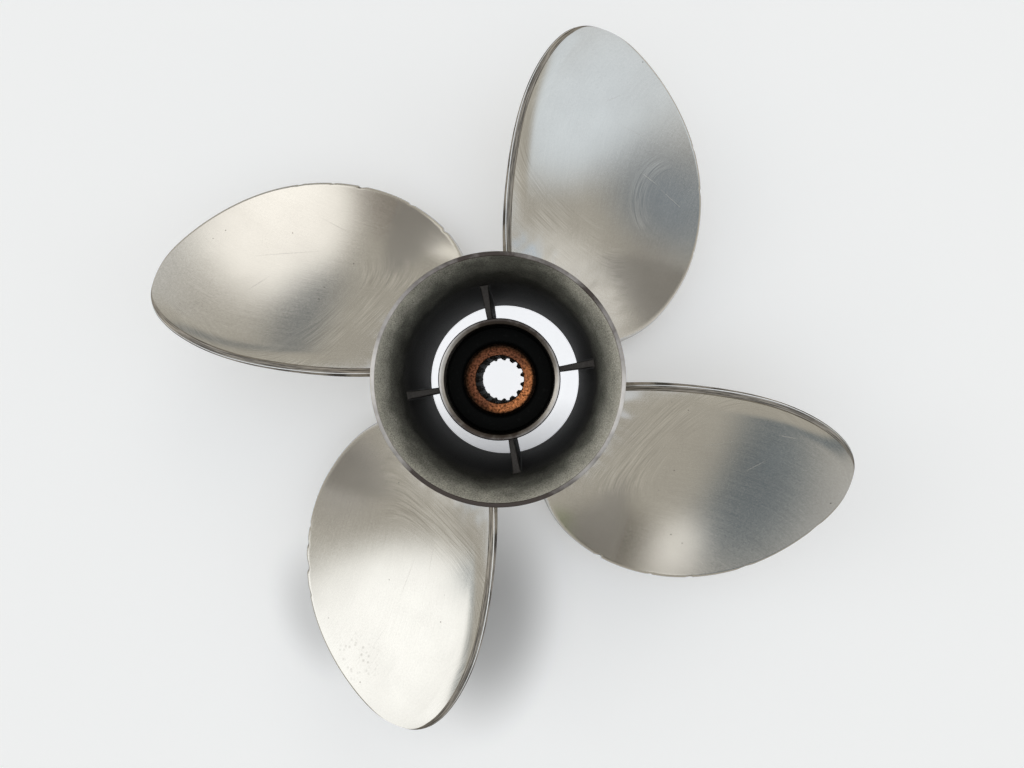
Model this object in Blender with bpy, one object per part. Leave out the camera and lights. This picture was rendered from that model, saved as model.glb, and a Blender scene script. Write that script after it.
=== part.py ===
"""Four-blade stainless outboard propeller with exhaust through the hub.

Metres, +Z is aft (away from the gearcase) and is the shaft axis. The hub's flat forward face
stands on z = 0. The blades are right-handed: seen from aft, each trails on its left side.
"""

import math

import bmesh
import bpy
from mathutils import Matrix

MM = 0.001
GAP = 0.3 * MM  # clearance between pieces that touch in the real propeller

# Barrel: the outer wall runs straight, then flares to the diffuser rim at its aft end.
HUB_LENGTH = 130 * MM
HUB_RADIUS = 54 * MM
RIM_RADIUS = 62 * MM
RIM_WALL = 2.2 * MM
FLARE_START = 101 * MM
WAIST_Z = 90 * MM  # where the inside starts to open out to the rim
WAIST_RADIUS = 50.6 * MM
THROAT_RADIUS = 46.6 * MM  # narrowest place, just inside the forward face
THROAT_Z = 9 * MM
THROAT_LENGTH = 5 * MM
COUNTERBORE_RADIUS = 50 * MM  # laps over the gearcase
COUNTERBORE_DEPTH = 7 * MM
BARREL_EDGE = 0.5 * MM
FLARE_STEPS = 7
BARREL_SIDES = 72

# Inner hub, its bushing and the splined sleeve.
TUBE_RADIUS = 31.3 * MM
TUBE_BORE = 28.4 * MM
TUBE_START = 10 * MM
TUBE_END = 108 * MM
SEAT_BORE = 21.5 * MM  # forward lip that the bushing bears on
SEAT_END = 25 * MM
SEAT_CHAMFER = 1.5 * MM
SLEEVE_RADIUS = 18.8 * MM
SLEEVE_START = 26 * MM
SLEEVE_END = 99 * MM
SLEEVE_CHAMFER = 0.8 * MM
RUBBER_START = SEAT_END + GAP
RUBBER_END = 96.5 * MM
RUBBER_ROUND = 1.2 * MM
TUBE_EDGE = 0.6 * MM
TUBE_MOUTH_CHAMFER = 1.1 * MM
TUBE_SIDES = 64

SPLINE_TEETH = 15
SPLINE_ROOT = 12.6 * MM
SPLINE_TIP = 10.75 * MM
SPLINE_START = 58 * MM
RELIEF_RADIUS = 12.9 * MM  # plain bore forward of the splines
TOOTH_POINTS = 6
TOOTH_TIP_SHARE = 0.30
TOOTH_ROOT_SHARE = 0.40

# Exhaust ribs.
RIB_THICKNESS = 3 * MM
RIB_START = 16 * MM
RIB_MIDDLE = 50 * MM
RIB_END = 90 * MM
RIB_NOSE = 1 * MM
RIB_FIRST_ANGLE = math.radians(10)

# Blades. The driving face is a helicoid: its height follows angle * pitch / turn, plus rake.
BLADE_COUNT = 4
TIP_RADIUS = 190.4 * MM
PITCH = 432 * MM  # 17 inches
RAKE_RISE = 20 * MM  # how far the blade leans aft between root and tip
TRAILING_ROOT_Z = 97 * MM
BLADE_ROOT = HUB_RADIUS + GAP
CUP_HEIGHT = 2.5 * MM
CUP_WIDTH = 16 * MM
ROOT_THICKNESS = 8.5 * MM
TIP_THICKNESS = 2.6 * MM
TRAILING_THICKNESS = (3.6 * MM, 1.8 * MM)  # root, tip
LEADING_THICKNESS = 1.2 * MM
FILLET_RADIUS = 7 * MM  # where a blade grows out of the barrel
FILLET_AT_EDGES = 0.35  # share of it left at the leading and trailing edges
LEADING_NOSE = 0.5 * MM
SLENDER_CHORD = 60 * MM  # sections shorter than this, near the tip, thin out
LAST_TIP_DISTANCE = 0.03
FILLET_STEPS = 4
SPAN_STEPS = 18
CHORD_STEPS = 16
THROUGH_STEPS = 5

# Outline as (radius in mm, degrees from the blade's reference line) from root to tip.
TRAILING_EDGE = ((54, -2.6), (80, -1.7), (110, -2.6), (140, -4.6), (165, -7.6), (182, -11), (189, -14.2))
LEADING_EDGE = ((54, -73.5), (90, -70.6), (121, -62), (147, -51.2), (166, -41), (180, -30.8), (187, -24.2))
TIP_ANGLE = -18.0


def clear_scene():
    for obj in list(bpy.data.objects):
        bpy.data.objects.remove(obj, do_unlink=True)


def principled(name, colour, metallic, roughness):
    material = bpy.data.materials.new(name)
    material.use_nodes = True
    shader = material.node_tree.nodes["Principled BSDF"]
    shader.inputs["Base Color"].default_value = (*colour, 1.0)
    shader.inputs["Metallic"].default_value = metallic
    shader.inputs["Roughness"].default_value = roughness
    return material


def finish_object(name, bm, material, smooth_degrees=35):
    """Turns the bmesh into an object whose normals point outwards."""
    bmesh.ops.recalc_face_normals(bm, faces=bm.faces)
    mesh = bpy.data.meshes.new(name)
    bm.to_mesh(mesh)
    bm.free()
    mesh.shade_smooth()
    mesh.set_sharp_from_angle(angle=math.radians(smooth_degrees))
    mesh.materials.append(material)
    obj = bpy.data.objects.new(name, mesh)
    bpy.context.scene.collection.objects.link(obj)
    return obj


def turned(name, profile, sides, material):
    """Spins a closed outline of (radius, z) points once round the shaft axis."""
    bm = bmesh.new()
    ring = [bm.verts.new((radius, 0.0, z)) for radius, z in profile]
    edges = [bm.edges.new((ring[i - 1], ring[i])) for i in range(len(ring))]
    bmesh.ops.spin(
        bm,
        geom=ring + edges,
        axis=(0, 0, 1),
        cent=(0, 0, 0),
        angle=math.tau,
        steps=sides,
        use_merge=True,
    )
    return finish_object(name, bm, material)


def mix(first, second, share):
    return first + (second - first) * share


def rim_share(z, start):
    """0 where the flare starts, 1 at the rim, opening faster towards the rim."""
    return max(0.0, (z - start) / (HUB_LENGTH - start)) ** 1.5


def barrel_outer(z):
    return HUB_RADIUS + (RIM_RADIUS - HUB_RADIUS) * rim_share(z, FLARE_START)


def barrel_inner(z):
    if z > WAIST_Z:
        return WAIST_RADIUS + (RIM_RADIUS - RIM_WALL - WAIST_RADIUS) * rim_share(z, WAIST_Z)
    throat_end = THROAT_Z + THROAT_LENGTH
    share = (z - throat_end) / (WAIST_Z - throat_end)
    return THROAT_RADIUS + (WAIST_RADIUS - THROAT_RADIUS) * max(0.0, share)


def make_barrel(material):
    outer = [(HUB_RADIUS - BARREL_EDGE, 0.0), (HUB_RADIUS, BARREL_EDGE)]
    for step in range(FLARE_STEPS):
        z = mix(FLARE_START, HUB_LENGTH - BARREL_EDGE, step / (FLARE_STEPS - 1))
        outer.append((barrel_outer(z), z))
    inner = []
    for step in range(FLARE_STEPS):
        z = mix(HUB_LENGTH, WAIST_Z, step / (FLARE_STEPS - 1))
        inner.append((barrel_inner(z), z))
    inner += [
        (THROAT_RADIUS, THROAT_Z + THROAT_LENGTH),
        (THROAT_RADIUS, THROAT_Z),
        (COUNTERBORE_RADIUS, COUNTERBORE_DEPTH),
        (COUNTERBORE_RADIUS, 0.0),
    ]
    rim = [(RIM_RADIUS - BARREL_EDGE, HUB_LENGTH)]
    return turned("hub_barrel", outer + rim + inner, BARREL_SIDES, material)


def make_tube(material):
    profile = [
        (SEAT_BORE + SEAT_CHAMFER, TUBE_START),
        (TUBE_RADIUS - TUBE_EDGE, TUBE_START),
        (TUBE_RADIUS, TUBE_START + TUBE_EDGE),
        (TUBE_RADIUS, TUBE_END - TUBE_EDGE),
        (TUBE_RADIUS - TUBE_EDGE, TUBE_END),
        (TUBE_BORE + TUBE_MOUTH_CHAMFER, TUBE_END),
        (TUBE_BORE, TUBE_END - TUBE_MOUTH_CHAMFER),
        (TUBE_BORE, SEAT_END),
        (SEAT_BORE, SEAT_END),
        (SEAT_BORE, TUBE_START + SEAT_CHAMFER),
    ]
    return turned("inner_tube", profile, TUBE_SIDES, material)


def make_bushing(material):
    inner = SLEEVE_RADIUS + GAP
    outer = TUBE_BORE - GAP
    profile = [
        (SEAT_BORE, RUBBER_START),
        (outer, RUBBER_START),
        (outer, RUBBER_END - RUBBER_ROUND),
        (outer - RUBBER_ROUND, RUBBER_END),
        (inner + RUBBER_ROUND / 2, RUBBER_END),
        (inner, RUBBER_END - RUBBER_ROUND / 2),
        (inner, RUBBER_START + SEAT_CHAMFER),
    ]
    return turned("rubber_bushing", profile, TUBE_SIDES, material)


def ring_of_points(bm, radii, z):
    """A closed loop of vertices, one at each equally spaced angle."""
    loop = []
    for i, radius in enumerate(radii):
        angle = math.tau * i / len(radii)
        loop.append(bm.verts.new((radius * math.cos(angle), radius * math.sin(angle), z)))
    for i in range(len(loop)):
        bm.edges.new((loop[i - 1], loop[i]))
    return loop


def skin_between(bm, first, second):
    count = len(first)
    for i in range(count):
        bm.faces.new((first[i - 1], first[i], second[i], second[i - 1]))


def spline_radius(share):
    """Bore radius at a share of one tooth pitch, with a flat root, a slope and a flat tip."""
    slope = (1 - TOOTH_TIP_SHARE - TOOTH_ROOT_SHARE) / 2
    distance = abs(share - 0.5)  # 0 in the middle of a tooth, 0.5 in the middle of a gap
    rise = (distance - TOOTH_TIP_SHARE / 2) / slope
    return SPLINE_TIP + (SPLINE_ROOT - SPLINE_TIP) * min(1.0, max(0.0, rise))


def make_sleeve(material):
    count = SPLINE_TEETH * TOOTH_POINTS
    bm = bmesh.new()
    teeth = [spline_radius((i % TOOTH_POINTS) / TOOTH_POINTS) for i in range(count)]
    loops = [
        ring_of_points(bm, [SLEEVE_RADIUS - SLEEVE_CHAMFER] * count, SLEEVE_START),
        ring_of_points(bm, [SLEEVE_RADIUS] * count, SLEEVE_START + SLEEVE_CHAMFER),
        ring_of_points(bm, [SLEEVE_RADIUS] * count, SLEEVE_END - SLEEVE_CHAMFER),
        ring_of_points(bm, [SLEEVE_RADIUS - SLEEVE_CHAMFER] * count, SLEEVE_END),
        ring_of_points(bm, [radius + SLEEVE_CHAMFER for radius in teeth], SLEEVE_END),
        ring_of_points(bm, teeth, SLEEVE_END - SLEEVE_CHAMFER),
        ring_of_points(bm, teeth, SPLINE_START),
        ring_of_points(bm, [RELIEF_RADIUS] * count, SPLINE_START - SLEEVE_CHAMFER),
        ring_of_points(bm, [RELIEF_RADIUS] * count, SLEEVE_START),
    ]
    for i in range(len(loops)):
        skin_between(bm, loops[i - 1], loops[i])
    return finish_object("splined_sleeve", bm, material, smooth_degrees=25)


def make_rib(index, material):
    """A flat cast vane between the inner tube and the barrel, with a rounded aft edge."""
    bm = bmesh.new()
    stations = [
        (RIB_START, RIB_THICKNESS),
        (RIB_MIDDLE, RIB_THICKNESS),
        (RIB_END - RIB_NOSE, RIB_THICKNESS),
        (RIB_END, RIB_THICKNESS - 2 * RIB_NOSE),
    ]
    loops = []
    for z, thickness in stations:
        inner = TUBE_RADIUS + GAP
        outer = math.sqrt((barrel_inner(z) - GAP) ** 2 - (RIB_THICKNESS / 2) ** 2)
        half = thickness / 2
        corners = ((inner, -half), (outer, -half), (outer, half), (inner, half))
        loops.append([bm.verts.new((x, y, z)) for x, y in corners])
    for below, above in zip(loops, loops[1:]):
        skin_between(bm, below, above)
    bm.faces.new(loops[0])
    bm.faces.new(loops[-1])
    turn = Matrix.Rotation(RIB_FIRST_ANGLE + index * math.tau / BLADE_COUNT, 4, "Z")
    bmesh.ops.transform(bm, matrix=turn, verts=bm.verts)
    return finish_object(f"exhaust_rib_{index + 1}", bm, material)


def tip_distance(radius):
    """1 at the root and 0 at the tip, changing fast near the tip so that the outline closes round."""
    return math.sqrt(max(0.0, (TIP_RADIUS - radius) / (TIP_RADIUS - HUB_RADIUS)))


def edge_angle(outline, radius):
    """Angle of an edge at a radius, on a smooth curve through the outline's points and the tip."""
    points = [(tip_distance(r * MM), math.radians(degrees)) for r, degrees in outline]
    points.append((0.0, math.radians(TIP_ANGLE)))
    where = tip_distance(radius)
    last = len(points) - 2
    i = next((n for n in range(last + 1) if where >= points[n + 1][0]), last)
    (x1, y1), (x2, y2) = points[i], points[i + 1]
    x0, y0 = points[max(i - 1, 0)]
    x3, y3 = points[min(i + 2, last + 1)]
    slope1 = (y2 - y0) / (x2 - x0)
    slope2 = (y3 - y1) / (x3 - x1)
    width = x2 - x1
    t = min(1.0, (where - x1) / width)
    return (
        (2 * t**3 - 3 * t**2 + 1) * y1
        + (t**3 - 2 * t**2 + t) * slope1 * width
        + (3 * t**2 - 2 * t**3) * y2
        + (t**3 - t**2) * slope2 * width
    )


def smooth_share(share):
    share = min(1.0, max(0.0, share))
    return share * share * (3 - 2 * share)


def fillet_height(distance):
    """How far a quarter-round fillet stands out at a distance from the barrel."""
    away = 1 - min(1.0, max(0.0, distance / FILLET_RADIUS))
    return FILLET_RADIUS * (1 - math.sqrt(1 - away * away))


def blade_section(radius):
    """Rows of (angle, z) points from the driving face through to the back, at one radius."""
    span = (radius - HUB_RADIUS) / (TIP_RADIUS - HUB_RADIUS)
    rise = PITCH / math.tau
    tilt = math.atan2(rise, radius)
    trailing = mix(*TRAILING_THICKNESS, span)
    lead_angle = edge_angle(LEADING_EDGE, radius)
    trail_angle = edge_angle(TRAILING_EDGE, radius) - trailing * math.sin(tilt) / radius
    thickest = mix(ROOT_THICKNESS, TIP_THICKNESS, span**0.8)
    slender = smooth_share((trail_angle - lead_angle) * radius / SLENDER_CHORD)
    fillet = fillet_height(radius - BLADE_ROOT)
    rows = [[] for _ in range(THROUGH_STEPS + 1)]
    for step in range(CHORD_STEPS + 1):
        share = (1 - math.cos(math.pi * step / CHORD_STEPS)) / 2
        angle = mix(lead_angle, trail_angle, share)
        from_trailing = (trail_angle - angle) * radius
        cup = CUP_HEIGHT * max(0.0, 1 - from_trailing / CUP_WIDTH) ** 2
        z = TRAILING_ROOT_Z + RAKE_RISE * span + rise * angle + cup
        belly = 4 * share * (1 - share)
        edge = mix(LEADING_THICKNESS, trailing, share)
        thickness = edge + (thickest - edge) * slender * belly
        stand_out = fillet * mix(FILLET_AT_EDGES, 1.0, belly)
        for row in range(THROUGH_STEPS + 1):
            through = row / THROUGH_STEPS
            depth = mix(-stand_out, thickness + stand_out, through)
            nose = (LEADING_NOSE + stand_out / 2) * 4 * through * (1 - through) if step == 0 else 0.0
            rows[row].append((
                angle + (depth * math.sin(tilt) - nose * math.cos(tilt)) / radius,
                z - depth * math.cos(tilt) - nose * math.sin(tilt),
            ))
    return rows


def round_the_edge(rows):
    """The outer ring of a grid: face, trailing side, back, leading side."""
    trailing = [row[-1] for row in rows[1:-1]]
    leading = [row[0] for row in rows[-2:0:-1]]
    return rows[0] + trailing + rows[-1][::-1] + leading


def blade_radii():
    """Stations from root to tip: close together in the fillet, and again at the round tip."""
    radii = []
    for step in range(FILLET_STEPS):
        radii.append(BLADE_ROOT + FILLET_RADIUS * (step / FILLET_STEPS) ** 2)
    start = tip_distance(BLADE_ROOT + FILLET_RADIUS)
    for step in range(SPAN_STEPS + 1):
        distance = mix(start, LAST_TIP_DISTANCE, step / SPAN_STEPS)
        radii.append(TIP_RADIUS - (TIP_RADIUS - HUB_RADIUS) * distance**2)
    return radii


def make_blade(index, material):
    bm = bmesh.new()
    turn = math.tau / BLADE_COUNT * index
    grids = []
    radii = blade_radii()
    for radius in radii:
        is_end = radius in (radii[0], radii[-1])
        grid = []
        for row_index, row in enumerate(blade_section(radius)):
            inside = 0 < row_index < THROUGH_STEPS and not is_end
            verts = []
            for angle, z in (row[0], row[-1]) if inside else row:
                x = radius * math.cos(angle + turn)
                y = radius * math.sin(angle + turn)
                verts.append(bm.verts.new((x, y, z)))
            grid.append(verts)
        grids.append(grid)
    for inner, outer in zip(grids, grids[1:]):
        skin_between(bm, round_the_edge(inner), round_the_edge(outer))
    for grid in (grids[0], grids[-1]):
        for near, far in zip(grid, grid[1:]):
            for i in range(CHORD_STEPS):
                bm.faces.new((near[i], near[i + 1], far[i + 1], far[i]))
    return finish_object(f"blade_{index + 1}", bm, material)


def main():
    clear_scene()
    polished = principled("polished_stainless", (0.62, 0.60, 0.57), 1.0, 0.18)
    cast = principled("cast_stainless", (0.30, 0.30, 0.29), 1.0, 0.48)
    bronze = principled("bronze", (0.33, 0.16, 0.07), 1.0, 0.45)
    rubber = principled("rubber", (0.012, 0.012, 0.012), 0.0, 0.55)
    make_barrel(cast)
    make_tube(cast)
    make_bushing(rubber)
    make_sleeve(bronze)
    for index in range(BLADE_COUNT):
        make_rib(index, cast)
        make_blade(index, polished)


main()
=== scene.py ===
import math

import bmesh
import bpy
from mathutils import Matrix, Vector, noise


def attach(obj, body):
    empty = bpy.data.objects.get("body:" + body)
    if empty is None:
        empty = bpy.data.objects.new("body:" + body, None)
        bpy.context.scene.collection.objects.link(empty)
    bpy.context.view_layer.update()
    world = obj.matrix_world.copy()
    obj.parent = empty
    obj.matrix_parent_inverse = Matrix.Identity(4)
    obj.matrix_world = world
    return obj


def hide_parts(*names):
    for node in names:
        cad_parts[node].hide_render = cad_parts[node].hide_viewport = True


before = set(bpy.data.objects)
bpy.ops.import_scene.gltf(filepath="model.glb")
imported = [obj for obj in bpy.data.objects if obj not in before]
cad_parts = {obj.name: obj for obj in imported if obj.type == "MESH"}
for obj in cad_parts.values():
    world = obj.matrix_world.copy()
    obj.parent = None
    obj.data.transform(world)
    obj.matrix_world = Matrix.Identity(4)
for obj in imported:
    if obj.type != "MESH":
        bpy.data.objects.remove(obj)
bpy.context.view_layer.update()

MM = 0.001

# The camera is a phone held about 0.4 m above the diffuser rim, almost on the shaft axis, which
# puts the far opening of the hub a little to the right of the rim's middle.
camera = bpy.data.objects.new("camera", bpy.data.cameras.new("camera"))
camera.data.sensor_width = 36
camera.data.lens = 28.125
camera.data.clip_start = 0.01
camera.location = (14.95 * MM, 0.23 * MM, 515.8 * MM)
looked_at = Vector((4.3 * MM, -3.0 * MM, 0.0))
backwards = (camera.location - looked_at).normalized()
rightwards = Vector((0, 1, 0)).cross(backwards).normalized()
turned = Matrix((rightwards, backwards.cross(rightwards), backwards)).transposed()
camera.rotation_euler = turned.to_euler()
bpy.context.scene.collection.objects.link(camera)
bpy.context.scene.camera = camera


# The hub's barrel: one investment casting in stainless steel, with the blades cast on it. Its
# outside is polished, the inside is left as cast, and the aft rim is faced in a lathe.
HUB_LENGTH = 130 * MM
HUB_RADIUS = 54 * MM
RIM_RADIUS = 62 * MM
RIM_WALL = 2.2 * MM
FLARE_START = 101 * MM
WAIST_Z = 90 * MM
WAIST_RADIUS = 50.6 * MM
THROAT_RADIUS = 46.6 * MM
THROAT_START = 9 * MM
THROAT_END = 14 * MM
COUNTERBORE_RADIUS = 50 * MM
COUNTERBORE_DEPTH = 7 * MM
FLARE_STEPS = 18
TURNED_STEPS = 240


def mix(first, second, share):
    return first + (second - first) * share


def hex_colour(code):
    """Turns an sRGB hex value into the linear colour that a shader socket takes."""
    channels = [int(code[i:i + 2], 16) / 255 for i in (0, 2, 4)]
    linear = [c / 12.92 if c <= 0.04045 else ((c + 0.055) / 1.055) ** 2.4 for c in channels]
    return (*linear, 1.0)


def add_node(tree, kind, inputs=None, **settings):
    """Adds a node; an input is either a value or the socket that feeds it."""
    made = tree.nodes.new(kind)
    for name, value in settings.items():
        setattr(made, name, value)
    for name, value in (inputs or {}).items():
        if isinstance(value, bpy.types.NodeSocket):
            tree.links.new(value, made.inputs[name])
        else:
            made.inputs[name].default_value = value
    return made


def new_finish(name, metallic):
    """A material with its shader and the Object coordinates that its patterns read."""
    finish = bpy.data.materials.new(name)
    finish.use_nodes = True
    tree = finish.node_tree
    shader = tree.nodes["Principled BSDF"]
    shader.inputs["Metallic"].default_value = metallic
    place = add_node(tree, "ShaderNodeTexCoord").outputs["Object"]
    return finish, tree, shader, place


def turned_shape(outline):
    """Spins an outline of (radius, z, rounding) corners round the shaft axis."""
    bm = bmesh.new()
    corners = [bm.verts.new((radius, 0.0, z)) for radius, z, _ in outline]
    section = bm.faces.new(corners)
    for corner, (_, _, rounding) in zip(corners, outline):
        if rounding:
            bmesh.ops.bevel(
                bm, geom=[corner], offset=rounding, offset_type="OFFSET", segments=4,
                profile=0.5, affect="VERTICES", material=-1,
            )
    bmesh.ops.delete(bm, geom=bm.faces[:], context="FACES_ONLY")
    bmesh.ops.spin(
        bm, geom=bm.verts[:] + bm.edges[:], axis=(0, 0, 1), cent=(0, 0, 0),
        angle=math.tau, steps=TURNED_STEPS, use_merge=True,
    )
    return bm


def finished_piece(name, bm, finishes, replaced, sharp_degrees=35):
    """Makes the object, and hides the CAD nodes that it stands for."""
    bmesh.ops.recalc_face_normals(bm, faces=bm.faces[:])
    mesh = bpy.data.meshes.new(name)
    bm.to_mesh(mesh)
    bm.free()
    mesh.shade_smooth()
    mesh.set_sharp_from_angle(angle=math.radians(sharp_degrees))
    for finish in finishes:
        mesh.materials.append(finish)
    piece = bpy.data.objects.new(name, mesh)
    bpy.context.scene.collection.objects.link(piece)
    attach(piece, "root")
    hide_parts(*replaced)
    return piece


def flare_share(z, start):
    """0 where the flare starts, 1 at the rim, opening faster towards the rim."""
    return max(0.0, (z - start) / (HUB_LENGTH - start)) ** 1.5


def barrel_outside(z):
    return mix(HUB_RADIUS, RIM_RADIUS, flare_share(z, FLARE_START))


def barrel_inside(z):
    """Widens evenly from the throat, and faster past the waist, with no crease between."""
    slope = (WAIST_RADIUS - THROAT_RADIUS) / (WAIST_Z - THROAT_END)
    even = THROAT_RADIUS + slope * max(0.0, z - THROAT_END)
    flare = RIM_RADIUS - RIM_WALL - WAIST_RADIUS - slope * (HUB_LENGTH - WAIST_Z)
    return even + flare * max(0.0, (z - WAIST_Z) / (HUB_LENGTH - WAIST_Z)) ** 1.7


barrel_outline = [(HUB_RADIUS, 0.0, 0.6 * MM)]
for step in range(FLARE_STEPS):
    z = mix(FLARE_START, HUB_LENGTH, step / FLARE_STEPS)
    barrel_outline.append((barrel_outside(z), z, 0.0))
barrel_outline += [
    (RIM_RADIUS, HUB_LENGTH, 0.3 * MM),
    (RIM_RADIUS - RIM_WALL, HUB_LENGTH, 0.3 * MM),
]
for step in range(1, FLARE_STEPS + 1):
    z = mix(HUB_LENGTH, WAIST_Z, step / FLARE_STEPS)
    barrel_outline.append((barrel_inside(z), z, 0.0))
barrel_outline += [
    (THROAT_RADIUS, THROAT_END, 0.0),
    (THROAT_RADIUS, THROAT_START, 0.8 * MM),
    (COUNTERBORE_RADIUS, COUNTERBORE_DEPTH, 0.0),
    (COUNTERBORE_RADIUS, 0.0, 0.5 * MM),
]

# As-cast stainless steel: the ceramic mould leaves a matt grey skin with a grain of about half a
# millimetre. Exhaust soot and painted shade darken it deep inside, and it lightens towards the rim;
# painted shade also darkens the side towards +Y and the side away from +X.
as_cast, tree, shader, place = new_finish("as_cast_stainless", 0.25)
height = add_node(tree, "ShaderNodeSeparateXYZ", {0: place}).outputs["Z"]
# Painted shade on one side: the ramp is pushed darker towards +Y and away from +X.
painted_shade_towards_y = add_node(tree, "ShaderNodeMapRange", {
    "Value": add_node(tree, "ShaderNodeSeparateXYZ", {0: place}).outputs["Y"],
    "From Min": 40 * MM, "From Max": 62 * MM, "To Max": 18 * MM,
})
painted_shade_away_from_x = add_node(tree, "ShaderNodeMapRange", {
    "Value": add_node(tree, "ShaderNodeSeparateXYZ", {0: place}).outputs["X"],
    "From Min": 20 * MM, "From Max": 55 * MM, "To Min": 8 * MM, "To Max": 0.0,
})
stain = add_node(tree, "ShaderNodeTexNoise", {
    "Vector": place, "Scale": 1 / (14 * MM), "Detail": 6.0, "Roughness": 0.6,
})
painted_side_shift = add_node(tree, "ShaderNodeMath", {
    0: painted_shade_towards_y.outputs["Result"], 1: painted_shade_away_from_x.outputs["Result"],
})
shaded_depth = add_node(tree, "ShaderNodeMath", {
    0: height, 1: painted_side_shift.outputs[0],
}, operation="SUBTRACT")
wandering = add_node(tree, "ShaderNodeMath", {
    0: stain.outputs["Fac"], 1: 26 * MM, 2: shaded_depth.outputs[0],
}, operation="MULTIPLY_ADD")
along = add_node(tree, "ShaderNodeMapRange", {
    "Value": wandering.outputs[0], "From Min": 0.0, "From Max": HUB_LENGTH + 13 * MM,
})
# Darker with depth: exhaust soot together with painted shade of the deep barrel.
soot_and_painted_shade = add_node(tree, "ShaderNodeValToRGB", {0: along.outputs["Result"]})
soot_and_painted_shade.color_ramp.elements[0].color = hex_colour("1A1916")
soot_and_painted_shade.color_ramp.elements[1].color = hex_colour("D2D1CA")
for share, tone in ((0.30, "201F1C"), (0.58, "22211E"), (0.72, "393936"), (0.82, "6A6B66"), (0.91, "ABABA4")):
    soot_and_painted_shade.color_ramp.elements.new(share).color = hex_colour(tone)
grain = add_node(tree, "ShaderNodeTexNoise", {
    "Vector": place, "Scale": 1 / (0.7 * MM), "Detail": 3.0, "Roughness": 0.7,
})
grainy = add_node(tree, "ShaderNodeMapRange", {
    "Value": grain.outputs["Fac"], "From Min": 0.34, "From Max": 0.66,
})
speckled = add_node(tree, "ShaderNodeMix", {
    0: 0.5, 6: soot_and_painted_shade.outputs["Color"], 7: grainy.outputs["Result"],
}, data_type="RGBA", blend_type="OVERLAY")
bump = add_node(tree, "ShaderNodeBump", {
    "Height": grain.outputs["Fac"], "Strength": 0.6, "Distance": 0.2 * MM,
})
tree.links.new(speckled.outputs[2], shader.inputs["Base Color"])
tree.links.new(bump.outputs["Normal"], shader.inputs["Normal"])
shader.inputs["Roughness"].default_value = 0.72
shader.inputs["Specular IOR Level"].default_value = 0.1

# Lathe-faced stainless steel: fine rings from the tool, dulled by a patchy brown exhaust film that
# is rubbed thin to bright metal in places. The two opposite sides towards ±X are painted lighter
# and the sides towards ±Y darker, a painted reflection.
turned_steel, tree, shader, place = new_finish("turned_stainless", 1.0)
flat_place = add_node(tree, "ShaderNodeVectorMath", {0: place, 1: (1.0, 1.0, 0.0)}, operation="MULTIPLY")
from_axis = add_node(tree, "ShaderNodeVectorMath", {0: flat_place.outputs[0]}, operation="LENGTH")
rings = add_node(tree, "ShaderNodeTexNoise", {
    "W": from_axis.outputs["Value"], "Scale": 1 / (0.35 * MM), "Detail": 2.0,
}, noise_dimensions="1D")
film = add_node(tree, "ShaderNodeTexNoise", {
    "Vector": place, "Scale": 1 / (34 * MM), "Detail": 9.0, "Roughness": 0.68,
})
outward = add_node(tree, "ShaderNodeVectorMath", {0: flat_place.outputs[0]}, operation="NORMALIZE")
# Painted reflection: brighter metal on the two sides towards ±X, darker towards ±Y.
toward_x_sides = add_node(tree, "ShaderNodeVectorMath", {
    0: outward.outputs[0], 1: (0.98, -0.17, 0.0),
}, operation="DOT_PRODUCT")
painted_light_sides = add_node(tree, "ShaderNodeMath", {0: toward_x_sides.outputs["Value"], 1: 4.0}, operation="POWER")
film_and_painted_light = add_node(tree, "ShaderNodeMath", {
    0: painted_light_sides.outputs[0], 1: 0.44, 2: film.outputs["Fac"],
}, operation="MULTIPLY_ADD")
rubbed_and_painted_light = add_node(tree, "ShaderNodeMapRange", {
    "Value": film_and_painted_light.outputs[0], "From Min": 0.52, "From Max": 0.96,
})
tone = add_node(tree, "ShaderNodeMix", {
    0: rubbed_and_painted_light.outputs["Result"], 6: hex_colour("453F3C"), 7: hex_colour("C4C0BC"),
}, data_type="RGBA")
bump = add_node(tree, "ShaderNodeBump", {
    "Height": rings.outputs["Fac"], "Strength": 0.4, "Distance": 0.05 * MM,
})
tree.links.new(tone.outputs[2], shader.inputs["Base Color"])
tree.links.new(bump.outputs["Normal"], shader.inputs["Normal"])
shader.inputs["Roughness"].default_value = 0.38

# Polished stainless steel: it mirrors the room softly. Fine belt lines run from root to tip, the
# polishing wheel has left arcs near the root, and use has added haze, scratches and a few pits.
ARC_CENTRE = (42 * MM, 138 * MM)
SWIRL_CENTRE = (99 * MM, 101 * MM)
STAIN_CENTRE = (-79 * MM, -152 * MM)
SCRATCHES = (
    (78, 133, 20, -19), (97, 102, 13, -35), (83, 112, 8, -30), (60, 150, 7, 25), (118, -34, 16, 12),
    (136, -46, 9, 34), (150, -30, 7, -10), (-120, 70, 22, 8), (-95, 88, 12, -28), (-132, 52, 9, 40),
    (-52, -110, 18, 70), (-38, -96, 14, 82), (-66, -140, 9, 55),
)

polished, tree, shader, place = new_finish("polished_stainless", 1.0)
along_blade = add_node(tree, "ShaderNodeUVMap", uv_map="blade").outputs["UV"]
haze = add_node(tree, "ShaderNodeTexNoise", {
    "Vector": place, "Scale": 1 / (1.0 * MM), "Detail": 4.0, "Roughness": 0.7,
})
fine_lines = add_node(tree, "ShaderNodeMapping", {
    "Vector": along_blade, "Scale": (1 / (0.5 * MM), 1 / (26 * MM), 1.0),
})
lines = add_node(tree, "ShaderNodeTexNoise", {
    "Vector": fine_lines.outputs[0], "Scale": 1.0, "Detail": 3.0,
}, noise_dimensions="2D")
both = add_node(tree, "ShaderNodeMix", {
    0: 0.30, 6: haze.outputs["Fac"], 7: lines.outputs["Fac"],
}, data_type="RGBA")
texture = add_node(tree, "ShaderNodeMapRange", {
    "Value": both.outputs[2], "From Min": 0.36, "From Max": 0.64,
}).outputs["Result"]

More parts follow.
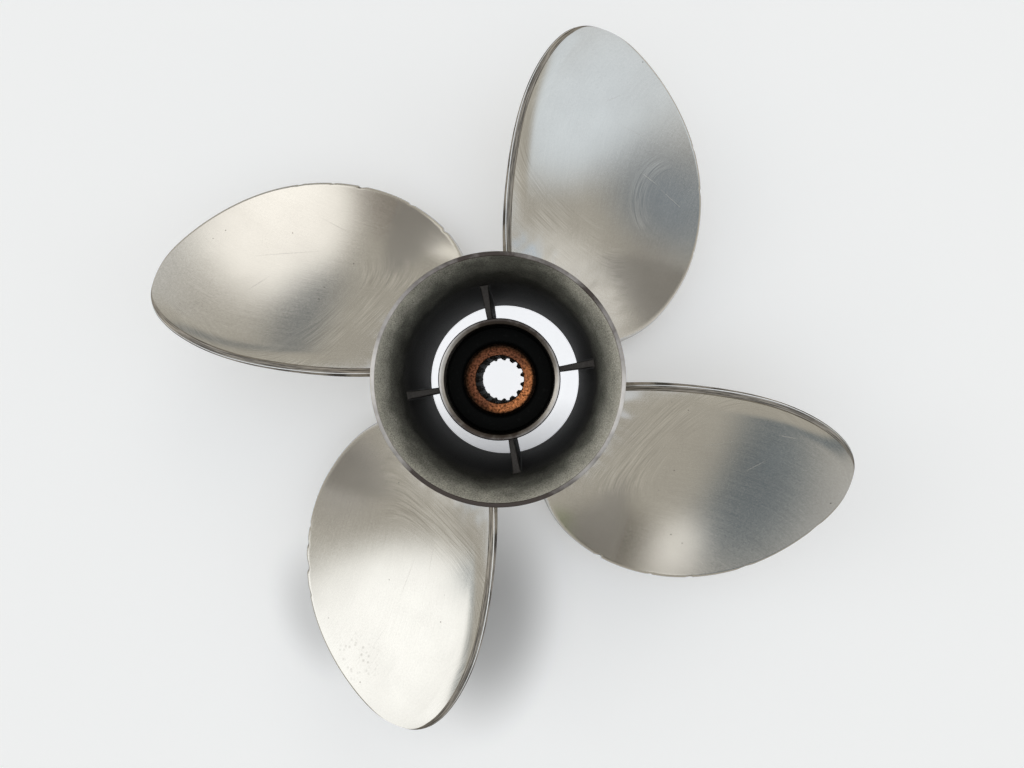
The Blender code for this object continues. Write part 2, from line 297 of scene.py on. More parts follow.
patches = add_node(tree, "ShaderNodeTexNoise", {"Vector": place, "Scale": 1 / (22 * MM), "Detail": 2.0})
patchy = add_node(tree, "ShaderNodeMapRange", {
    "Value": patches.outputs["Fac"], "From Min": 0.36, "From Max": 0.56,
})
flat_place = add_node(tree, "ShaderNodeVectorMath", {0: place, 1: (1.0, 1.0, 0.0)}, operation="MULTIPLY")
for centre, side, coordinates, inner, middle, outer in (
    (ARC_CENTRE, (-1.0, -1.0), along_blade, 28 * MM, 50 * MM, 78 * MM),
    (SWIRL_CENTRE, (-1.0, 0.5), flat_place.outputs[0], 13 * MM, 23 * MM, 30 * MM),
):
    from_centre = add_node(tree, "ShaderNodeVectorMath", {
        0: coordinates, 1: (*centre, 0.0),
    }, operation="SUBTRACT")
    reach = add_node(tree, "ShaderNodeVectorMath", {0: from_centre.outputs[0]}, operation="LENGTH")
    stretched = add_node(tree, "ShaderNodeMapping", {
        "Vector": coordinates, "Scale": (1 / (16 * MM), 1 / (16 * MM), 1.0),
    })
    ring = add_node(tree, "ShaderNodeMath", {0: reach.outputs["Value"], 1: 1 / (0.75 * MM)}, operation="MULTIPLY")
    ring_place = add_node(tree, "ShaderNodeCombineXYZ", {2: ring.outputs[0]})
    along_ring = add_node(tree, "ShaderNodeVectorMath", {0: stretched.outputs[0], 1: ring_place.outputs[0]})
    arcs = add_node(tree, "ShaderNodeTexNoise", {"Vector": along_ring.outputs[0], "Scale": 1.0, "Detail": 2.0})
    clear_arcs = add_node(tree, "ShaderNodeMapRange", {
        "Value": arcs.outputs["Fac"], "From Min": 0.42, "From Max": 0.60, "To Min": 0.35, "To Max": 1.5,
    }, clamp=False)
    rising = add_node(tree, "ShaderNodeMapRange", {
        "Value": reach.outputs["Value"], "From Min": inner, "From Max": middle,
    }, interpolation_type="SMOOTHSTEP")
    falling = add_node(tree, "ShaderNodeMapRange", {
        "Value": reach.outputs["Value"], "From Min": outer, "From Max": middle,
    }, interpolation_type="SMOOTHSTEP")
    sideways = add_node(tree, "ShaderNodeVectorMath", {
        0: from_centre.outputs[0], 1: (*side, 0.0),
    }, operation="DOT_PRODUCT")
    this_side = add_node(tree, "ShaderNodeMapRange", {
        "Value": sideways.outputs["Value"], "From Min": 0.0, "From Max": inner,
    })
    band = add_node(tree, "ShaderNodeMath", {
        0: rising.outputs["Result"], 1: falling.outputs["Result"],
    }, operation="MULTIPLY")
    sided = add_node(tree, "ShaderNodeMath", {
        0: band.outputs[0], 1: this_side.outputs["Result"],
    }, operation="MULTIPLY")
    shown = add_node(tree, "ShaderNodeMath", {
        0: sided.outputs[0], 1: patchy.outputs["Result"],
    }, operation="MULTIPLY")
    texture = add_node(tree, "ShaderNodeMix", {
        0: shown.outputs[0], 6: texture, 7: clear_arcs.outputs["Result"],
    }, data_type="RGBA").outputs[2]

scratched = add_node(tree, "ShaderNodeValue").outputs[0]
for x, y, half_length, turn in SCRATCHES:
    local = add_node(tree, "ShaderNodeMapping", {
        "Vector": flat_place.outputs[0], "Location": (x * MM, y * MM, 0.0),
        "Rotation": (0.0, 0.0, math.radians(turn)), "Scale": (half_length * MM, 0.28 * MM, 1.0),
    }, vector_type="TEXTURE")
    away = add_node(tree, "ShaderNodeVectorMath", {0: local.outputs[0]}, operation="LENGTH")
    mark = add_node(tree, "ShaderNodeMapRange", {
        "Value": away.outputs["Value"], "From Min": 1.0, "From Max": 0.0,
    })
    scratched = add_node(tree, "ShaderNodeMath", {
        0: mark.outputs["Result"], 1: scratched,
    }, operation="MAXIMUM").outputs[0]

pits = add_node(tree, "ShaderNodeTexVoronoi", {"Vector": place, "Scale": 1 / (11 * MM)})
pitted = add_node(tree, "ShaderNodeMapRange", {
    "Value": pits.outputs["Distance"], "From Min": 0.04, "From Max": 0.02,
})
spots = add_node(tree, "ShaderNodeTexVoronoi", {"Vector": place, "Scale": 1 / (2.6 * MM)})
spotted = add_node(tree, "ShaderNodeMapRange", {
    "Value": spots.outputs["Distance"], "From Min": 0.40, "From Max": 0.10, "To Max": 0.32,
})
from_stain = add_node(tree, "ShaderNodeVectorMath", {
    0: flat_place.outputs[0], 1: (*STAIN_CENTRE, 0.0),
}, operation="DISTANCE")
in_stain = add_node(tree, "ShaderNodeMapRange", {
    "Value": from_stain.outputs["Value"], "From Min": 15 * MM, "From Max": 5 * MM,
})
stained = add_node(tree, "ShaderNodeMath", {
    0: spotted.outputs["Result"], 1: in_stain.outputs["Result"], 2: pitted.outputs["Result"],
}, operation="MULTIPLY_ADD", use_clamp=True)
cloud = add_node(tree, "ShaderNodeTexNoise", {"Vector": place, "Scale": 1 / (30 * MM), "Detail": 3.0})
tone = add_node(tree, "ShaderNodeMix", {
    0: cloud.outputs["Fac"], 6: hex_colour("BFBEBD"), 7: hex_colour("D4D4D3"),
}, data_type="RGBA")
brushed = add_node(tree, "ShaderNodeMix", {
    0: 0.08, 6: tone.outputs[2], 7: texture,
}, data_type="RGBA", blend_type="OVERLAY")
marked = add_node(tree, "ShaderNodeMix", {
    0: stained.outputs[0], 6: brushed.outputs[2], 7: hex_colour("6E6A66"),
}, data_type="RGBA")
gloss = add_node(tree, "ShaderNodeMapRange", {
    "Value": texture, "To Min": 0.15, "To Max": 0.21,
})
dulled = add_node(tree, "ShaderNodeMath", {
    0: scratched, 1: 0.16, 2: gloss.outputs["Result"],
}, operation="MULTIPLY_ADD")
waves = add_node(tree, "ShaderNodeTexNoise", {"Vector": place, "Scale": 1 / (17 * MM), "Detail": 1.0})
from_shaft = add_node(tree, "ShaderNodeVectorMath", {0: flat_place.outputs[0]}, operation="LENGTH")
near_root = add_node(tree, "ShaderNodeMapRange", {
    "Value": from_shaft.outputs["Value"], "From Min": 92 * MM, "From Max": 64 * MM,
}, interpolation_type="SMOOTHSTEP")
hand_ground = add_node(tree, "ShaderNodeMath", {
    0: waves.outputs["Fac"], 1: near_root.outputs["Result"],
}, operation="MULTIPLY")
wavy = add_node(tree, "ShaderNodeBump", {
    "Height": hand_ground.outputs[0], "Strength": 0.8, "Distance": 1.5 * MM,
})
bump = add_node(tree, "ShaderNodeBump", {
    "Height": texture, "Strength": 0.10, "Distance": 0.02 * MM, "Normal": wavy.outputs["Normal"],
})
tree.links.new(marked.outputs[2], shader.inputs["Base Color"])
tree.links.new(dulled.outputs[0], shader.inputs["Roughness"])
tree.links.new(bump.outputs["Normal"], shader.inputs["Normal"])

bm = turned_shape(barrel_outline)
for face in bm.faces:
    middle = face.calc_center_median()
    from_shaft = math.hypot(middle.x, middle.y)
    if from_shaft > barrel_outside(middle.z) - 0.7 * MM and middle.z < HUB_LENGTH - 0.6 * MM:
        face.material_index = 0
    elif middle.z > HUB_LENGTH - 0.6 * MM or middle.z < COUNTERBORE_DEPTH:
        face.material_index = 1
    else:
        face.material_index = 2
finished_piece(
    "cast_barrel", bm, (polished, turned_steel, as_cast), ("hub_barrel",)
)


# The inner hub: a stainless tube in the middle of the barrel, turned at its aft mouth, bored for
# the bushing and left with a lip at the forward end that the bushing bears on.
TUBE_RADIUS = 31.3 * MM
TUBE_BORE = 28.4 * MM
TUBE_START = 10 * MM
TUBE_END = 108 * MM
SEAT_BORE = 21.5 * MM
SEAT_END = 25 * MM

# Dark edge: metal with a fine grain, its dark tone a painted dark reflection, on the tube's outer
# chamfer and on the ribs.
edge_dark_reflection, tree, shader, place = new_finish("worn_edge_stainless", 1.0)
grain = add_node(tree, "ShaderNodeTexNoise", {
    "Vector": place, "Scale": 1 / (0.8 * MM), "Detail": 3.0, "Roughness": 0.7,
})
tone = add_node(tree, "ShaderNodeMix", {
    0: grain.outputs["Fac"], 6: hex_colour("22201F"), 7: hex_colour("55524F"),
}, data_type="RGBA")
tree.links.new(tone.outputs[2], shader.inputs["Base Color"])
shader.inputs["Roughness"].default_value = 0.5

bm = turned_shape([
    (SEAT_BORE, TUBE_START, 1.5 * MM),
    (TUBE_RADIUS, TUBE_START, 0.6 * MM),
    (TUBE_RADIUS, TUBE_END - 0.5 * MM, 0.0),
    (TUBE_RADIUS - 0.5 * MM, TUBE_END, 0.0),
    (TUBE_BORE + 1.6 * MM, TUBE_END, 0.2 * MM),
    (TUBE_BORE, TUBE_END - 0.9 * MM, 0.2 * MM),
    (TUBE_BORE, SEAT_END, 0.0),
    (SEAT_BORE, SEAT_END, 0.3 * MM),
])
for face in bm.faces:
    middle = face.calc_center_median()
    is_outside = math.hypot(middle.x, middle.y) > TUBE_RADIUS - 0.3 * MM
    if is_outside and middle.z < TUBE_END:
        face.material_index = 1 if middle.z < TUBE_END - 0.5 * MM else 2
finished_piece(
    "inner_hub", bm, (turned_steel, as_cast, edge_dark_reflection), ("inner_tube",)
)


# The exhaust ribs: four flat vanes cast between the inner hub and the barrel. Each swells into
# a fillet at both ends, and its aft edge is rounded, with a dark tone that is a painted reflection.
RIB_HALF_INSIDE = 1.4 * MM
RIB_HALF_OUTSIDE = 2.1 * MM
RIB_START = 16 * MM
RIB_END = 90 * MM
RIB_NOSE = 0.5 * MM
RIB_FILLET = 1.2 * MM
RIB_FIRST_ANGLE = math.radians(10)
RIB_ROWS = 48
RIB_COLUMNS = 24


def quarter_round(distance, radius):
    """How far a quarter-round fillet stands out at a distance from where it starts."""
    away = 1 - min(1.0, max(0.0, distance / radius))
    return radius * (1 - math.sqrt(1 - away * away))


for index in range(4):
    bm = bmesh.new()
    bmesh.ops.create_grid(bm, x_segments=RIB_COLUMNS, y_segments=RIB_ROWS, size=0.5)
    other_side = bmesh.ops.duplicate(bm, geom=bm.verts[:] + bm.edges[:] + bm.faces[:])["geom"]
    other_verts = {item for item in other_side if isinstance(item, bmesh.types.BMVert)}
    for vert in bm.verts:
        across, along = vert.co.x + 0.5, 1 - (0.5 - vert.co.y) ** 2.2
        z = mix(RIB_START, RIB_END, along)
        from_shaft = mix(TUBE_RADIUS - 0.2 * MM, barrel_inside(z) + 0.2 * MM, across)
        ends = min(from_shaft - TUBE_RADIUS, barrel_inside(z) - from_shaft)
        nose = quarter_round(min(RIB_END - z, z - RIB_START), RIB_NOSE)
        half = mix(RIB_HALF_INSIDE, RIB_HALF_OUTSIDE, across) - nose + quarter_round(ends, RIB_FILLET)
        vert.co = (from_shaft, -half if vert in other_verts else half, z)
    rims = [edge for edge in bm.edges if edge.is_boundary]
    bmesh.ops.bridge_loops(bm, edges=rims)
    bmesh.ops.rotate(
        bm, cent=(0, 0, 0), verts=bm.verts[:],
        matrix=Matrix.Rotation(RIB_FIRST_ANGLE + index * math.pi / 2, 3, "Z"),
    )
    for face in bm.faces:
        # The aft end takes the dark-edge finish, a painted dark reflection.
        face.material_index = 1 if face.calc_center_median().z > RIB_END - 0.7 * RIB_NOSE else 0
    finished_piece(
        f"cast_rib_{index + 1}", bm, (as_cast, edge_dark_reflection),
        (f"exhaust_rib_{index + 1}",),
    )


# The bushing: black natural rubber, bonded to the bronze sleeve and pressed into the inner hub.
# It carries the engine's torque and slips if a blade strikes something.
RUBBER_START = 25.3 * MM
RUBBER_END = 96.5 * MM
RUBBER_RADIUS = 28.2 * MM
SLEEVE_RADIUS = 18.8 * MM

# Natural rubber: moulded, black and matt, with pale dust and salt dried on its aft face.
rubber, tree, shader, place = new_finish("black_natural_rubber", 0.0)
dust = add_node(tree, "ShaderNodeTexNoise", {"Vector": place, "Scale": 1 / (2.2 * MM), "Detail": 6.0})
dusty = add_node(tree, "ShaderNodeMapRange", {
    "Value": dust.outputs["Fac"], "From Min": 0.58, "From Max": 0.8, "To Max": 0.5,
})
tone = add_node(tree, "ShaderNodeMix", {
    0: dusty.outputs["Result"], 6: hex_colour("060707"), 7: hex_colour("1C1D1D"),
}, data_type="RGBA")
bump = add_node(tree, "ShaderNodeBump", {
    "Height": dust.outputs["Fac"], "Strength": 0.4, "Distance": 0.2 * MM,
})
tree.links.new(tone.outputs[2], shader.inputs["Base Color"])
tree.links.new(bump.outputs["Normal"], shader.inputs["Normal"])
shader.inputs["Roughness"].default_value = 0.7
shader.inputs["Specular IOR Level"].default_value = 0.06

bm = turned_shape([
    (SEAT_BORE, RUBBER_START, 0.4 * MM),
    (RUBBER_RADIUS, RUBBER_START, 0.4 * MM),
    (RUBBER_RADIUS, RUBBER_END - 1.2 * MM, 0.3 * MM),
    (RUBBER_RADIUS - 0.7 * MM, RUBBER_END - 1.2 * MM, 0.3 * MM),
    (RUBBER_RADIUS - 1.0 * MM, RUBBER_END, 0.5 * MM),
    (SLEEVE_RADIUS + 1.4 * MM, RUBBER_END, 0.8 * MM),
    (SLEEVE_RADIUS + 0.1 * MM, RUBBER_END - 1.4 * MM, 0.0),
    (SLEEVE_RADIUS + 0.1 * MM, RUBBER_START + 1.5 * MM, 0.0),
])
finished_piece("moulded_bushing", bm, (rubber,), ("rubber_bushing",))


# The sleeve: cast bronze with fifteen broached splines that slide on the propeller shaft. The
# splines stop half way, and the rest of the bore is turned plain to clear the shaft's taper.
SLEEVE_START = 26 * MM
SLEEVE_END = 99 * MM
SLEEVE_CHAMFER = 0.9 * MM
SPLINE_TEETH = 15
SPLINE_ROOT = 12.5 * MM
SPLINE_TIP = 10.9 * MM
SPLINE_START = 58 * MM
SPLINE_SETBACK = 1.6 * MM
RELIEF_RADIUS = 12.9 * MM
TOOTH_POINTS = 20
TOOTH_TIP_SHARE = 0.20
TOOTH_ROOT_SHARE = 0.42

# Tarnished bronze: dark brown, brighter orange on one side where the washer has rubbed the face,
# pitted by salt water, and black with old grease on the outer chamfer and in the splines.
bronze, tree, shader, place = new_finish("tarnished_bronze", 1.0)
flat_place = add_node(tree, "ShaderNodeVectorMath", {0: place, 1: (1.0, 1.0, 0.0)}, operation="MULTIPLY")
from_axis = add_node(tree, "ShaderNodeVectorMath", {0: flat_place.outputs[0]}, operation="LENGTH")
patches = add_node(tree, "ShaderNodeTexNoise", {
    "Vector": place, "Scale": 1 / (3.2 * MM), "Detail": 8.0, "Roughness": 0.8,
})
flecks = add_node(tree, "ShaderNodeTexNoise", {"Vector": place, "Scale": 1 / (1.1 * MM), "Detail": 4.0, "Roughness": 0.7})
crusted = add_node(tree, "ShaderNodeMapRange", {
    "Value": flecks.outputs["Fac"], "From Min": 0.38, "From Max": 0.62,
})
uneven = add_node(tree, "ShaderNodeMath", {
    0: patches.outputs["Fac"], 1: 3.0 * MM, 2: from_axis.outputs["Value"],
}, operation="MULTIPLY_ADD")
across = add_node(tree, "ShaderNodeMapRange", {
    "Value": uneven.outputs[0], "From Min": 12 * MM, "From Max": 21 * MM,
})
worn = add_node(tree, "ShaderNodeValToRGB", {0: across.outputs["Result"]})
worn.color_ramp.elements[0].color = hex_colour("2A201A")
worn.color_ramp.elements[1].color = hex_colour("2B211B")
for share, tone in ((0.20, "2A1C14"), (0.30, "643F2D"), (0.60, "4E2F21"), (0.70, "362114"), (0.80, "261B14")):
    worn.color_ramp.elements.new(share).color = hex_colour(tone)
washer_side = add_node(tree, "ShaderNodeVectorMath", {
    0: place, 1: (33.0, -24.0, 0.0),
}, operation="DOT_PRODUCT")
bright_patch = add_node(tree, "ShaderNodeMath", {
    0: washer_side.outputs["Value"], 1: patches.outputs["Fac"],
}, operation="ADD")
rubbed_and_painted_light = add_node(tree, "ShaderNodeMapRange", {
    "Value": bright_patch.outputs[0], "From Min": 0.60, "From Max": 1.10,
})
on_face = add_node(tree, "ShaderNodeMapRange", {
    "Value": across.outputs["Result"], "From Min": 0.78, "From Max": 0.66,
})
rubbed_face = add_node(tree, "ShaderNodeMath", {
    0: rubbed_and_painted_light.outputs["Result"], 1: on_face.outputs["Result"],
}, operation="MULTIPLY")
shined = add_node(tree, "ShaderNodeMix", {
    0: rubbed_face.outputs[0], 6: worn.outputs["Color"], 7: hex_colour("A0653F"),
}, data_type="RGBA")
flecked = add_node(tree, "ShaderNodeMix", {
    0: 0.8, 6: shined.outputs[2], 7: crusted.outputs["Result"],
}, data_type="RGBA", blend_type="OVERLAY")
bump = add_node(tree, "ShaderNodeBump", {
    "Height": flecks.outputs["Fac"], "Strength": 0.7, "Distance": 0.12 * MM,
})
tree.links.new(flecked.outputs[2], shader.inputs["Base Color"])
tree.links.new(bump.outputs["Normal"], shader.inputs["Normal"])
shader.inputs["Roughness"].default_value = 0.42

# Old grease: black and almost without shine, all the way down the bore and on the splines.
grease, tree, shader, place = new_finish("old_grease", 0.0)
shader.inputs["Base Color"].default_value = hex_colour("1A1816")
shader.inputs["Roughness"].default_value = 0.75
shader.inputs["Specular IOR Level"].default_value = 0.12


def spline_radius(share):
    """Bore radius at a share of one tooth pitch, with a flat root, a slope and a flat tip."""
    slope = (1 - TOOTH_TIP_SHARE - TOOTH_ROOT_SHARE) / 2
    rise = (abs(share - 0.5) - TOOTH_TIP_SHARE / 2) / slope
    return mix(SPLINE_TIP, SPLINE_ROOT, min(1.0, max(0.0, rise)))


def sleeve_loop(bm, z, radius=None, outset=0.0):
    """A ring of edges at one height: plain, or following the splines when no radius is given."""
    count = SPLINE_TEETH * TOOTH_POINTS
    verts = bmesh.ops.create_circle(bm, segments=count, radius=1.0)["verts"]
    for vert in verts:
        share = math.atan2(vert.co.y, vert.co.x) / math.tau * SPLINE_TEETH
        reach = radius or spline_radius(share - math.floor(share)) + outset
        vert.co = vert.co * reach
        vert.co.z = z
    return list({edge for vert in verts for edge in vert.link_edges})


bm = bmesh.new()
loops = [
    sleeve_loop(bm, SLEEVE_START, SLEEVE_RADIUS - SLEEVE_CHAMFER),
    sleeve_loop(bm, SLEEVE_START + SLEEVE_CHAMFER, SLEEVE_RADIUS),
    sleeve_loop(bm, SLEEVE_END - SLEEVE_CHAMFER, SLEEVE_RADIUS),
    sleeve_loop(bm, SLEEVE_END - 0.2 * MM, SLEEVE_RADIUS - SLEEVE_CHAMFER),
    sleeve_loop(bm, SLEEVE_END, SLEEVE_RADIUS - SLEEVE_CHAMFER - 0.3 * MM),
    sleeve_loop(bm, SLEEVE_END, SPLINE_ROOT + 0.35 * MM),
    sleeve_loop(bm, SLEEVE_END - 0.4 * MM, SPLINE_ROOT + 0.05 * MM),
    sleeve_loop(bm, SLEEVE_END - SPLINE_SETBACK, SPLINE_ROOT + 0.05 * MM),
    sleeve_loop(bm, SLEEVE_END - SPLINE_SETBACK - 1.2 * MM),
    sleeve_loop(bm, SPLINE_START),
    sleeve_loop(bm, SPLINE_START - 0.8 * MM, RELIEF_RADIUS),
    sleeve_loop(bm, SLEEVE_START, RELIEF_RADIUS),
]
for i in range(len(loops)):
    bmesh.ops.bridge_loops(bm, edges=loops[i - 1] + loops[i])
for face in bm.faces:
    middle = face.calc_center_median()
    is_in_bore = math.hypot(middle.x, middle.y) < RELIEF_RADIUS + 0.05 * MM
    face.material_index = 1 if is_in_bore and middle.z < SLEEVE_END - 0.3 * MM else 0
finished_piece(
    "bronze_sleeve", bm, (bronze, grease), ("splined_sleeve",), sharp_degrees=25
)


# The blades: four alike, cast with the barrel and ground by hand. The driving face is a screw
# surface of 432 mm pitch that ends in a cup at the thick trailing edge; the leading edge is thin.
TIP_RADIUS = 190.4 * MM
PITCH = 432 * MM
RAKE_RISE = 20 * MM
TRAILING_ROOT_Z = 97 * MM
BLADE_ROOT = HUB_RADIUS - 0.4 * MM
CUP_HEIGHT = 1.3 * MM
CUP_WIDTH = 8 * MM
ROOT_THICKNESS = 8.5 * MM
TIP_THICKNESS = 2.6 * MM
TRAILING_THICKNESS = (3.6 * MM, 1.3 * MM)
LEADING_THICKNESS = 1.2 * MM
FILLET_RADIUS = 7 * MM
FILLET_AT_EDGES = 0.35
LEADING_NOSE = 0.5 * MM
LEADING_WEAR = 0.35 * MM
WEAR_WIDTH = 3 * MM
SLENDER_CHORD = 60 * MM
CHORD_STEPS = 84
LEADING_STEPS = 8
SPAN_STEPS = 260

# Outline as (radius in mm, degrees from the blade's reference line) from root to tip.
TRAILING_EDGE = ((54, -2.6), (80, -1.7), (110, -2.6), (140, -4.6), (165, -7.6), (182, -11), (189, -14.2))
LEADING_EDGE = ((54, -73.5), (90, -70.6), (121, -62), (147, -51.2), (166, -41), (180, -30.8), (187, -24.2))
TIP_ANGLE = -18.0

# The trailing edge from the lip of the cup to the back, as (out along the chord in mm, down in mm,
# share of the thickness, finish): a land, a groove, a bead rubbed bright, and the bare wall.
FACE, BACK, GROUND = 0, 1, 2
TRAILING_PROFILE = (
    (0.10, 0.03, 0.0, GROUND), (0.24, 0.12, 0.0, GROUND), (0.7, 0.24, 0.0, GROUND),
    (1.2, 0.36, 0.0, GROUND), (1.7, 0.50, 0.0, GROUND), (1.95, 0.72, 0.0, GROUND),
    (2.1, 0.76, 0.0, GROUND), (2.3, 0.62, 0.0, GROUND), (2.5, 0.66, 0.0, FACE),
    (2.7, 0.80, 0.0, FACE), (2.9, 1.05, 0.0, GROUND), (3.0, 1.4, 0.0, GROUND),
    (3.0, -0.6, 1.0, GROUND), (2.9, -0.3, 1.0, GROUND), (2.6, -0.1, 1.0, GROUND), (2.2, 0.0, 1.0, BACK),
)
TRAILING_REACH = 3.0 * MM
TRAILING_BEYOND = 1.25 * MM

# Damage on the leading edge, as (radius, depth, half width) in mm. Blade 1 is the one to the
# right of the hub seen from aft, and the others follow against the clock.
NICKS = {
    1: ((121, 1.6, 2.0), (143, 0.8, 1.2), (156, 1.0, 1.4), (171, 1.2, 2.0), (186, 0.8, 1.5)),
    2: ((135, 0.5, 0.8), (156, 1.0, 1.5), (168, 0.6, 1.0)),
    3: ((99, 1.0, 2.0), (120, 0.9, 1.6), (141, 1.4, 1.8), (151, 0.7, 1.0), (161, 0.6, 1.0)),
    4: ((143, 0.8, 1.3), (149, 1.2, 1.9), (156, 2.2, 3.0), (164, 1.0, 1.6)),
}


def tip_distance(radius):
    """1 at the hub and 0 at the tip, changing fast near the tip so the outline closes round."""
    return math.sqrt(max(0.0, (TIP_RADIUS - radius) / (TIP_RADIUS - HUB_RADIUS)))


def edge_angle(outline, radius):
    """Angle of an edge at a radius, on a smooth curve through the outline's points and the tip."""
    points = [(tip_distance(r * MM), math.radians(degrees)) for r, degrees in outline]
    points.append((0.0, math.radians(TIP_ANGLE)))
    where = tip_distance(radius)
    last = len(points) - 2
    i = next((n for n in range(last + 1) if where >= points[n + 1][0]), last)
    (x1, y1), (x2, y2) = points[i], points[i + 1]
    x0, y0 = points[max(i - 1, 0)]
    x3, y3 = points[min(i + 2, last + 1)]
    slope1, slope2 = (y2 - y0) / (x2 - x0), (y3 - y1) / (x3 - x1)
    width = x2 - x1
    t = min(1.0, (where - x1) / width)
    start = (2 * t**3 - 3 * t**2 + 1) * y1 + (t**3 - 2 * t**2 + t) * slope1 * width
    return start + (3 * t**2 - 2 * t**3) * y2 + (t**3 - t**2) * slope2 * width


def smooth_share(share):
    share = min(1.0, max(0.0, share))
    return share * share * (3 - 2 * share)


class BladeSection:
    """The blade cut by a cylinder round the shaft: everything that depends on the radius alone."""

    def __init__(self, radius, nicks):
        self.radius = radius
        self.span = (radius - HUB_RADIUS) / (TIP_RADIUS - HUB_RADIUS)
        self.rise = PITCH / math.tau
        self.tilt = math.atan2(self.rise, radius)
        self.trailing = mix(*TRAILING_THICKNESS, self.span)
        self.lead = edge_angle(LEADING_EDGE, radius)
        outermost = edge_angle(TRAILING_EDGE, radius) - self.trailing * math.sin(self.tilt) / radius
        self.chord = max(0.0, outermost - self.lead) * radius
        self.slender = smooth_share(self.chord / SLENDER_CHORD)
        lip = (TRAILING_REACH * math.cos(self.tilt) - TRAILING_BEYOND) * self.slender
        self.trail = outermost - lip / radius
        self.thickest = mix(ROOT_THICKNESS, TIP_THICKNESS, max(0.0, self.span) ** 0.8)
        self.fillet = quarter_round(radius - HUB_RADIUS, FILLET_RADIUS)
        self.nose = min(LEADING_NOSE, 0.2 * self.chord)
        self.cup_height = CUP_HEIGHT * smooth_share(3 * self.span) * smooth_share(4 - 4 * self.span)
        self.nick = 0.0
        for nick_radius, depth, half_width in nicks:
            away = abs(radius / MM - nick_radius) / half_width
            self.nick = max(self.nick, depth * MM * smooth_share(1 - away))

    def point(self, share, through, out=0.0, down=0.0):
        """A point at a share of the chord from the leading edge, face (0) through to back (1)."""
        belly = 4 * share * (1 - share)
        edge = mix(LEADING_THICKNESS, self.trailing, share)
        thickness = edge + (self.thickest - edge) * self.slender * belly
        stand_out = self.fillet * mix(FILLET_AT_EDGES, 1.0, belly)
        worn = LEADING_WEAR * self.slender * max(0.0, 1 - share * self.chord / WEAR_WIDTH) ** 2
        angle = mix(self.lead, self.trail, share)
        from_leading = (angle - self.lead) * self.radius
        angle += self.nick * max(0.0, 1 - from_leading / (5 * MM)) / self.radius
        from_trailing = (self.trail - angle) * self.radius
        cup = self.cup_height * max(0.0, 1 - from_trailing / CUP_WIDTH) ** 2
        z = TRAILING_ROOT_Z + RAKE_RISE * self.span + self.rise * angle + cup
        depth = mix(worn - stand_out, thickness + stand_out, through) + down * MM * self.slender
        onward = out * MM * self.slender
        if share == 0.0:
            onward = -(self.nose + stand_out / 2) * 4 * through * (1 - through)
        angle += (depth * math.sin(self.tilt) + onward * math.cos(self.tilt)) / self.radius
        z -= depth * math.cos(self.tilt) - onward * math.sin(self.tilt)
        return angle, z, from_trailing - onward


def section_stations():
    """Places round one section, each with the finish of the strip that ends there."""
    shares = []
    for step in range(CHORD_STEPS + 1):
        even = step / CHORD_STEPS
        shares.append(mix(even, (1 - math.cos(math.pi * even)) / 2, 0.6))
    stations = [(share, 0.0, 0.0, 0.0, FACE) for share in shares[:-1]]
    stations.append((1.0, 0.0, 0.0, 0.0, GROUND))
    stations += [(1.0, through, out, down, finish) for out, down, through, finish in TRAILING_PROFILE]
    stations += [(share, 1.0, 0.0, 0.0, BACK) for share in reversed(shares)]
    stations += [(0.0, 1 - i / LEADING_STEPS, 0.0, 0.0, GROUND) for i in range(1, LEADING_STEPS)]
    return stations + stations[:1]


STATIONS = section_stations()
ROUND_STEPS = len(STATIONS) - 1

# Belt-ground stainless steel, for the backs: duller and warmer than the polished faces.
belt_ground, tree, shader, place = new_finish("belt_ground_stainless", 1.0)
along_blade = add_node(tree, "ShaderNodeUVMap", uv_map="blade").outputs["UV"]
fine_lines = add_node(tree, "ShaderNodeMapping", {
    "Vector": along_blade, "Scale": (1 / (0.6 * MM), 1 / (30 * MM), 1.0),
})
lines = add_node(tree, "ShaderNodeTexNoise", {
    "Vector": fine_lines.outputs[0], "Scale": 1.0, "Detail": 3.0,
}, noise_dimensions="2D")
tone = add_node(tree, "ShaderNodeMix", {
    0: lines.outputs["Fac"], 6: hex_colour("8F897F"), 7: hex_colour("BDB6AB"),
}, data_type="RGBA")
tree.links.new(tone.outputs[2], shader.inputs["Base Color"])
shader.inputs["Roughness"].default_value = 0.34

# Ground edge: the trailing edge is dressed with a coarse wheel that leaves dark and bright lines
# along it.
edge_ground, tree, shader, place = new_finish("edge_ground_stainless", 1.0)
along_blade = add_node(tree, "ShaderNodeUVMap", uv_map="blade").outputs["UV"]
wheel_lines = add_node(tree, "ShaderNodeMapping", {
    "Vector": along_blade, "Scale": (1 / (0.45 * MM), 1 / (18 * MM), 1.0),
})
lines = add_node(tree, "ShaderNodeTexNoise", {
    "Vector": wheel_lines.outputs[0], "Scale": 1.0, "Detail": 4.0, "Roughness": 0.65,
}, noise_dimensions="2D")
spread = add_node(tree, "ShaderNodeMapRange", {
    "Value": lines.outputs["Fac"], "From Min": 0.40, "From Max": 0.60,
})
tone = add_node(tree, "ShaderNodeMix", {
    0: spread.outputs["Result"], 6: hex_colour("4E4B47"), 7: hex_colour("9A948C"),
}, data_type="RGBA")
bump = add_node(tree, "ShaderNodeBump", {
    "Height": lines.outputs["Fac"], "Strength": 0.25, "Distance": 0.1 * MM,
})
tree.links.new(tone.outputs[2], shader.inputs["Base Color"])
tree.links.new(bump.outputs["Normal"], shader.inputs["Normal"])
shader.inputs["Roughness"].default_value = 0.4

